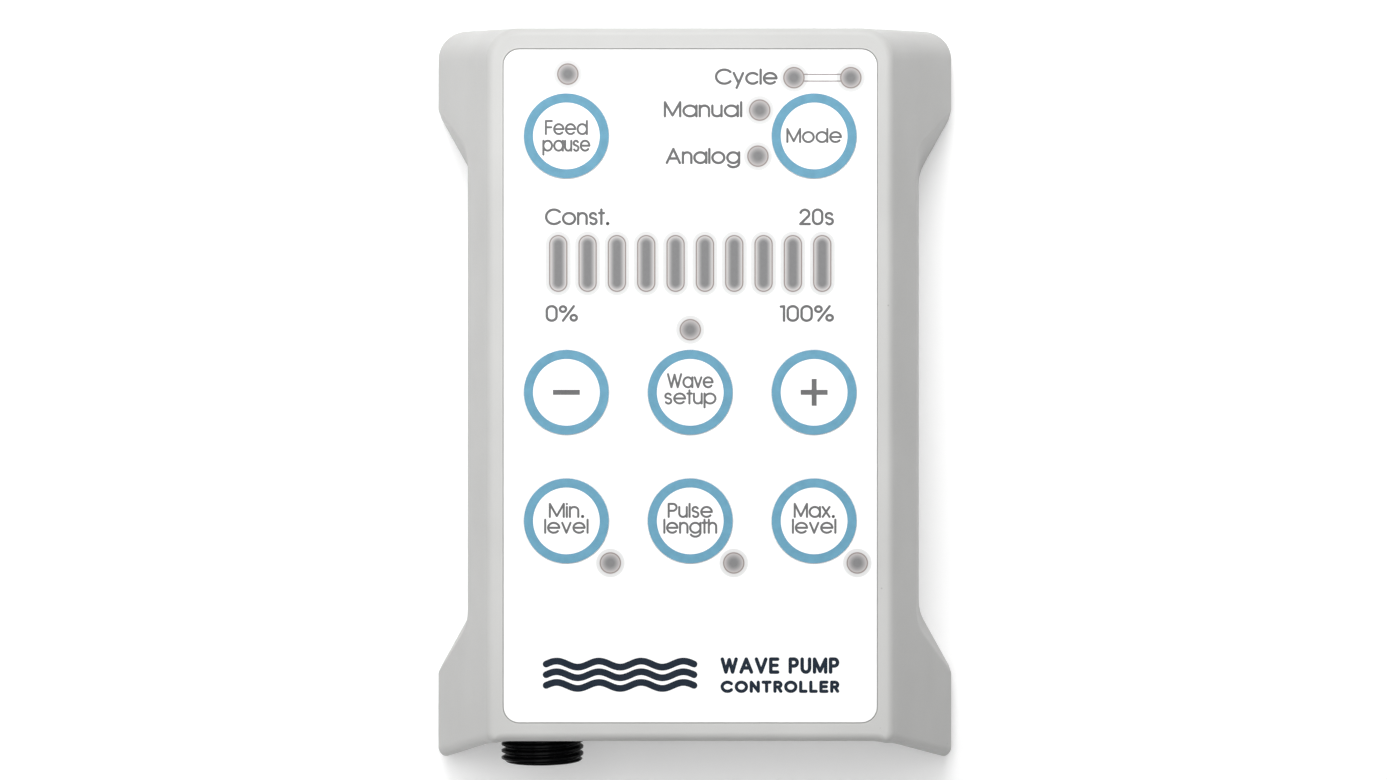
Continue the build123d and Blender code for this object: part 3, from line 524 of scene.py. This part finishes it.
# The strokes of each letter, and its width
GLYPHS = {
    "a": ([bowl(), [(H, H), (H, 0)]], H),
    "c": ([arc(H / 2, H / 2, H / 2, H / 2, 42, 318)], H * 0.88),
    "d": ([bowl(), [(H, 1), (H, 0)]], H),
    "e": ([[(0.01, H / 2), (H, H / 2)] + arc(H / 2, H / 2, H / 2, H / 2, 4, 318)], H),
    "g": ([bowl(), [(H, H), (H, 0.02)] + arc(H / 2, 0.02, H / 2, 0.32, -6, -150, 12)], H),
    "h": ([[(0, 1), (0, 0)], arch(0.54)], 0.54),
    "i": ([[(0, H), (0, 0)], [(0, 0.98), (0, 1.0)]], 0.0),
    "l": ([[(0, 1), (0, 0)]], 0.0),
    "n": ([[(0, H), (0, 0)], arch(0.54)], 0.54),
    "o": ([bowl()], H),
    "p": ([bowl(), [(0, H), (0, -0.30)]], H),
    "s": ([arc(0.21, H - 0.19, 0.19, 0.19, 25, 215, 12) + arc(0.23, 0.19, 0.20, 0.20, 50, -150, 14)], 0.44),
    "t": ([[(0.10, 1), (0.10, 0)], [(-0.04, H), (0.26, H)]], 0.22),
    "u": ([[(0, H)] + arc(0.27, 0.27, 0.27, 0.27, 180, 360, 14), [(0.54, H), (0.54, 0)]], 0.54),
    "v": ([[(0, H), (0.28, 0.0), (0.56, H)]], 0.56),
    "x": ([[(0, H), (0.5, 0)], [(0.5, H), (0, 0)]], 0.5),
    "y": ([[(0, H), (0.29, 0.02)], [(0.56, H), (0.17, -0.30)]], 0.56),
    "A": ([[(0, 0), (0.42, 1), (0.84, 0)], [(0.14, 0.32), (0.70, 0.32)]], 0.84),
    "C": ([arc(0.5, 0.5, 0.5, 0.5, 42, 318, 28)], 0.88),
    "E": ([[(0.56, 1), (0, 1), (0, 0), (0.56, 0)], [(0, 0.52), (0.50, 0.52)]], 0.56),
    "F": ([[(0.48, 1), (0, 1), (0, 0)], [(0, 0.52), (0.44, 0.52)]], 0.48),
    "L": ([[(0, 1), (0, 0), (0.50, 0)]], 0.50),
    "M": ([[(0, 0), (0, 1), (0.45, 0.06), (0.90, 1), (0.90, 0)]], 0.90),
    "N": ([[(0, 0), (0, 1), (0.66, 0), (0.66, 1)]], 0.66),
    "O": ([loop(0.48, 0.5, 0.48, 0.5)], 0.96),
    "P": ([[(0, 0), (0, 1), (0.30, 1)] + arc(0.30, 0.735, 0.265, 0.265, 90, -90, 14) + [(0, 0.47)]], 0.56),
    "R": ([[(0, 0), (0, 1), (0.30, 1)] + arc(0.30, 0.735, 0.265, 0.265, 90, -90, 14) + [(0, 0.47)],
           [(0.30, 0.47), (0.56, 0)]], 0.56),
    "T": ([[(0, 1), (0.66, 1)], [(0.33, 1), (0.33, 0)]], 0.66),
    "U": ([[(0, 1), (0, 0.30)] + arc(0.30, 0.30, 0.30, 0.30, 180, 360, 16) + [(0.60, 1)]], 0.60),
    "V": ([[(0, 1), (0.38, 0), (0.76, 1)]], 0.76),
    "W": ([[(0, 1), (0.29, 0), (0.56, 0.96), (0.83, 0), (1.12, 1)]], 1.12),
    "0": ([[(0.54, 0.30), (0.54, 0.70)] + arc(0.27, 0.70, 0.27, 0.30, 0, 180, 16) + [(0, 0.30)]
           + arc(0.27, 0.30, 0.27, 0.30, 180, 360, 16)], 0.54),
    "1": ([[(0, 0.97), (0.17, 1), (0.17, 0)]], 0.17),
    "2": ([arc(0.27, 0.71, 0.26, 0.28, 165, -38, 16) + [(0, 0), (0.56, 0)]], 0.56),
    "%": ([loop(0.16, 0.80, 0.17, 0.19), loop(0.76, 0.20, 0.17, 0.19), [(0.16, 0), (0.76, 1)]], 0.92),
    ".": ([loop(0.08, 0.03, 0.035, 0.04)], 0.10),
    " ": ([], 0.22),
}
LETTER_GAP = 0.20


def lettering(name, text, left, right, baseline, height, material, body, surface, stroke, gap=LETTER_GAP):
    """A word printed between left and right, its capitals of the given height."""
    advance, places = 0.0, []
    for letter in text:
        places.append(advance)
        advance += GLYPHS[letter][1] + gap
    stretch = (right - left - stroke) / (advance - gap)
    pen = Pen(stroke, surface)
    for letter, place in zip(text, places):
        for line in GLYPHS[letter][0]:
            pen.draw([
                (left + stroke / 2 + (place + x) * stretch, baseline + stroke / 2 + y * (height - stroke))
                for x, y in line
            ])
    pen.finish(name, material, body)


# Words on the keys in mm: the width, and the baseline above the key's centre
KEY_WORDS = {
    "feed_pause": (("Feed", 6.0, 0.10), ("pause", 6.7, -2.20)),
    "mode": (("Mode", 7.75, -1.00),),
    "wave_setup": (("Wave", 6.5, 0.55), ("setup", 7.3, -1.70)),
    "min_level": (("Min.", 4.9, 0.40), ("level", 6.2, -1.80)),
    "pulse_length": (("Pulse", 6.3, 0.40), ("length", 7.5, -1.80)),
    "max_level": (("Max.", 5.7, 0.40), ("level", 6.2, -1.80)),
}
KEY_WORD_HEIGHT = 2.12 * MM
KEY_WORD_STROKE = 0.31 * MM

# Outlines of the signs on the other two keys: an arm's length and half its width in mm
ARM, HALF = 1.87, 0.35
SIGNS = {
    "minus": ((-ARM, -HALF), (ARM, -HALF), (ARM, HALF), (-ARM, HALF)),
    "plus": (
        (-ARM, -HALF), (-HALF, -HALF), (-HALF, -ARM), (HALF, -ARM), (HALF, -HALF), (ARM, -HALF),
        (ARM, HALF), (HALF, HALF), (HALF, ARM), (-HALF, ARM), (-HALF, HALF), (-ARM, HALF),
    ),
}


def print_key(key):
    """The blue ring and the words or the sign on one key."""
    centre = middle(f"{key}_key")
    body = f"{key}_button"
    printed_ring(f"{key}_ring", centre, body)
    for number, (word, width, baseline) in enumerate(KEY_WORDS.get(key, ())):
        left, right = centre.x - width * MM / 2, centre.x + width * MM / 2
        lettering(f"{key}_word_{number + 1}", word, left, right, centre.y + baseline * MM, KEY_WORD_HEIGHT,
                  LEGEND_GREY, body, KEY_TOP, KEY_WORD_STROKE)
    if key in SIGNS:
        mesh = bmesh.new()
        outline = [(centre.x + x * MM, centre.y + y * MM) for x, y in SIGNS[key]]
        plate(mesh, outline, KEY_TOP - INK_SINK, KEY_TOP + INK_THICKNESS)
        piece(f"{key}_sign", mesh, LEGEND_GREY, body)


# Words on the film in mm: left, right, baseline and the height of the capitals
FILM_WORDS = {
    "legend_cycle": ("Cycle", 3.40, 12.15, 41.80, 2.30),
    "legend_manual": ("Manual", -3.70, 7.25, 37.27, 2.30),
    "legend_analog": ("Analog", -3.44, 6.97, 30.78, 2.30),
    "legend_constant": ("Const.", -20.20, -11.25, 22.30, 2.36),
    "legend_seconds": ("20s", 15.10, 20.00, 22.30, 2.36),
    "legend_zero": ("0%", -20.10, -15.60, 8.88, 2.36),
    "legend_full": ("100%", 12.40, 19.95, 8.88, 2.36),
}
FILM_WORD_STROKE = 0.36 * MM

# The title's lines have also the stroke, and the gap between letters as a share of their height
TITLE_LINES = {
    "title_top": ("WAVE PUMP", 4.20, 20.70, -40.00, 2.30, 0.50, 0.40),
    "title_bottom": ("CONTROLLER", 4.20, 20.70, -42.65, 1.72, 0.46, 0.46),
}


def print_film():
    """Every legend on the film between the keys, and the title."""
    for name, (text, left, right, baseline, height) in FILM_WORDS.items():
        lettering(name, text, left * MM, right * MM, baseline * MM, height * MM,
                  LEGEND_GREY, ROOT, FILM_TOP, FILM_WORD_STROKE)
    for name, (text, left, right, baseline, height, stroke, gap) in TITLE_LINES.items():
        lettering(name, text, left * MM, right * MM, baseline * MM, height * MM,
                  SYMBOL_NAVY, ROOT, FILM_TOP, stroke * MM, gap)


WAVE_LEFT, WAVE_RIGHT = -20.5 * MM, 1.0 * MM
WAVE_LOW, WAVE_HIGH = -42.5 * MM, -37.75 * MM
WAVE_ROWS = 3
WAVE_CRESTS = 3.5
WAVE_STROKE = 0.95 * MM
WAVE_SWING = 0.42 * MM
WAVE_STEPS = 120


def wave_symbol():
    """Three stacked waves, the plain sign for moving water."""
    start = WAVE_LEFT + WAVE_STROKE / 2
    length = WAVE_RIGHT - WAVE_LEFT - WAVE_STROKE
    lowest = WAVE_LOW + WAVE_SWING + WAVE_STROKE / 2
    climb = WAVE_HIGH - WAVE_LOW - 2 * WAVE_SWING - WAVE_STROKE
    shares = [i / WAVE_STEPS for i in range(WAVE_STEPS + 1)]
    swings = [WAVE_SWING * math.sin(2 * math.pi * WAVE_CRESTS * share) for share in shares]
    pen = Pen(WAVE_STROKE, FILM_TOP)
    for row in range(WAVE_ROWS):
        level = lowest + climb * row / (WAVE_ROWS - 1)
        pen.draw([(start + length * share, level + swing) for share, swing in zip(shares, swings)])
    pen.finish("wave_symbol", SYMBOL_NAVY, ROOT)


# ------------------------------------------------------------------ windows

# Tones are colours from 0 to 255. A window's blurred core fades into its border, then come a line and
# a halo. The core and its fade are painted shade of the unlit space under the clear window, the line
# is print, and the halo is painted shade on the film around the window.
PAINTED_CORE_SHADE = (143, 143, 144)
ROUND_SHADE_BORDER = (213, 208, 207)
BAR_SHADE_BORDER = (236, 232, 231)
LINE_TONE = (166, 154, 151)
ROUND_REACH = 1.47 * MM
ROUND_CORE = 0.46 * MM
BAR_REACH = 1.25 * MM
BAR_CORE = 0.38 * MM
BAR_COUNT = 10
BAR_SPARE = 0.03 * MM
GUIDE_WEB = 1.0 * MM
LINE_WIDTH = 0.13 * MM
LINE_GAP = 0.05 * MM
FADE_STEPS = 7
FADE_CURVE = 1.2
# Painted shade on the film around a window: how far past its line, and the tone there.
PAINTED_HALO_SHADE = ((0.05 * MM, 244), (0.18 * MM, 248), (0.32 * MM, 251), (0.46 * MM, 254))
HALO_END = 0.60 * MM
WINDOW_THICKNESS = 0.016 * MM
HALO_THICKNESS = 0.012 * MM
HALO_FALL = 0.0004 * MM
WINDOW_SINK = 0.01 * MM
LINK_WIDTH = 0.17 * MM
LINK_OFFSET = 0.47 * MM
LINK_START = 1.46 * MM


def window_tones(reach, core_r, shade_border):
    """Radius and colour from a window's blurred core out to where its halo fades: painted shade in the
    core, its fade and the halo, and the printed line between.
    """
    border = reach - LINE_WIDTH - LINE_GAP
    tones = [(core_r / 2, albedo(*PAINTED_CORE_SHADE)), (core_r, albedo(*PAINTED_CORE_SHADE))]
    for step in range(1, FADE_STEPS + 1):
        share = (step / FADE_STEPS) ** FADE_CURVE
        tone = [core + (edge - core) * share for core, edge in zip(PAINTED_CORE_SHADE, shade_border)]
        tones.append((core_r + (border - core_r) * step / FADE_STEPS, albedo(*tone)))
    tones += [(reach - LINE_WIDTH, albedo(*LINE_TONE)), (reach, albedo(*LINE_TONE))]
    tones += [(reach + out, albedo(tone, tone, tone)) for out, tone in PAINTED_HALO_SHADE]
    tones.append((reach + HALO_END, FILM_WHITE))
    return tones


def stadium(centre, radius, half_length, z, steps=24):
    """Points of an upright slot outline: two half circles, half_length above and below the centre."""
    points = []
    for end, start in ((1, 0.0), (-1, math.pi)):
        y = centre.y + end * half_length
        angles = [start + math.pi * i / steps for i in range(steps + 1)]
        points += [(centre.x + radius * math.cos(a), y + radius * math.sin(a), z) for a in angles]
    return points


def window(name, centre, reach, core_r, shade_border, half_length=0.0):
    """A window of the film: a blurred grey core fading to a pale border, painted shade of the unlit space
    under it, a thin printed line, and a faint halo of painted shade around it.
    """
    mesh = bmesh.new()
    layer = mesh.verts.layers.float_color.new("tone")

    def ring_of(places, colour):
        ring = [mesh.verts.new(place) for place in places]
        for vertex in ring:
            vertex[layer] = (*colour, 1.0)
        return ring

    rings = []
    for number, (radius, colour) in enumerate(window_tones(reach, core_r, shade_border)):
        in_halo = radius > reach + LINE_GAP / 2
        height = HALO_THICKNESS - HALO_FALL * number if in_halo else WINDOW_THICKNESS
        rings.append(ring_of(stadium(centre, radius, half_length, FILM_TOP + height), colour))
    for first, second in zip(rings, rings[1:]):
        bridge(mesh, first, second)
    mesh.faces.new(rings[0])
    under = ring_of([(v.co.x, v.co.y, FILM_TOP - WINDOW_SINK) for v in rings[-1]], FILM_WHITE)
    bridge(mesh, rings[-1], under)
    mesh.faces.new(under[::-1])
    piece(name, mesh, WINDOW_SHADE, ROOT)


def windows():
    """The nine round windows, the ten bars and the link between the two upper right windows."""
    for light in LIGHTS:
        window(f"{light}_window", middle(f"{light}_light_pipe"), ROUND_REACH, ROUND_CORE, ROUND_SHADE_BORDER)
    low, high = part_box("bar_light_guide")
    centre = (low + high) / 2
    pitch = (high.x - low.x - 2 * GUIDE_WEB) / BAR_COUNT
    half_length = (high.y - low.y) / 2 - GUIDE_WEB + BAR_SPARE - BAR_REACH
    for number in range(BAR_COUNT):
        place = Vector((centre.x + (number - (BAR_COUNT - 1) / 2) * pitch, centre.y, 0))
        window(f"bar_window_{number + 1}", place, BAR_REACH, BAR_CORE, BAR_SHADE_BORDER, half_length)
    first, second = middle("cycle_left_light_pipe"), middle("cycle_right_light_pipe")
    pen = Pen(LINK_WIDTH, FILM_TOP)
    for side in (-1, 1):
        y = first.y + side * LINK_OFFSET
        pen.draw([(first.x + LINK_START, y), (second.x - LINK_START, y)])
    pen.finish("window_link", LINK_GREY, ROOT)


# ------------------------------------------------------------------ stage

FLOOR_HALF = 12.0
FLOOR_PATCH = 0.4
GLOW_NEAR = (0.15, 0.15)
GLOW_FAR = (0.90, 0.80)
SKY_STRENGTH = 0.10

# Place in metres, side in metres and power in watts of each soft box
SOFT_BOXES = {
    "key_light": ((-0.08, 0.15, 0.38), 0.26, 0.70),
    "top_light": ((0.00, 0.35, 0.35), 0.30, 1.22),
    "left_light": ((-0.35, 0.00, 0.35), 0.30, 0.33),
    "overhead_light": ((0.05, 0.00, 0.90), 0.60, 3.28),
}

CAMERA_PLACE = (7.0 * MM, -13.0 * MM, 310.0 * MM)
CAMERA_SENSOR = 36.0
CAMERA_LENS = 51.95
CAMERA_SHIFT = (-0.0340, 0.0645)
CAMERA_NEAREST = 0.01


def floor():
    """A plain pale floor that glows faintly, and more so far out, where the soft boxes don't reach."""
    mesh = bmesh.new()
    bmesh.ops.create_grid(mesh, x_segments=8, y_segments=8, size=FLOOR_HALF)
    data = bpy.data.meshes.new("floor")
    mesh.to_mesh(data)
    mesh.free()
    m = Material("floor_paint")
    m.set("Base Color", m.mix(m.noise(FLOOR_PATCH), (0.91, 0.91, 0.91), (0.93, 0.93, 0.93)))
    m.set("Roughness", 0.9)
    m.set("Emission Color", (1.0, 1.0, 1.0))
    reach = m.nodes.new("ShaderNodeVectorMath")
    reach.operation = "LENGTH"
    m.links.new(m.place, reach.inputs[0])
    glow = m.remap(reach.outputs["Value"], GLOW_NEAR[0], GLOW_FAR[0], GLOW_NEAR[1], GLOW_FAR[1])
    m.set("Emission Strength", glow)
    m.data.cycles.emission_sampling = "NONE"
    data.materials.append(m.data)
    ground = bpy.data.objects.new("floor", data)
    bpy.context.scene.collection.objects.link(ground)


def soft_light(name, place, size, power):
    """A square soft box at place, turned to the object."""
    data = bpy.data.lights.new(name, "AREA")
    data.size = size
    data.energy = power
    box = bpy.data.objects.new(name, data)
    box.location = place
    box.rotation_euler = (-Vector(place)).to_track_quat("-Z", "Y").to_euler()
    bpy.context.scene.collection.objects.link(box)


def studio():
    """Four soft boxes, one over the object and the rest above its top and left sides, and a dim sky."""
    world = bpy.data.worlds.new("studio")
    world.use_nodes = True
    sky = world.node_tree.nodes["Background"]
    sky.inputs["Color"].default_value = (1, 1, 1, 1)
    sky.inputs["Strength"].default_value = SKY_STRENGTH
    bpy.context.scene.world = world
    for name, (place, size, power) in SOFT_BOXES.items():
        soft_light(name, place, size, power)
    view = bpy.context.scene.view_settings
    view.view_transform = "Standard"
    view.look = "None"


def camera():
    """Looks squarely down at the keypad from a little to the right of and below its middle."""
    data = bpy.data.cameras.new("camera")
    data.sensor_width = CAMERA_SENSOR
    data.lens = CAMERA_LENS
    data.shift_x, data.shift_y = CAMERA_SHIFT
    data.clip_start = CAMERA_NEAREST
    eye = bpy.data.objects.new("camera", data)
    eye.location = CAMERA_PLACE
    bpy.context.scene.collection.objects.link(eye)
    bpy.context.scene.camera = eye


paint_frame()
for key in KEYS:
    print_key(key)
print_film()
wave_symbol()
windows()
floor()
studio()
camera()
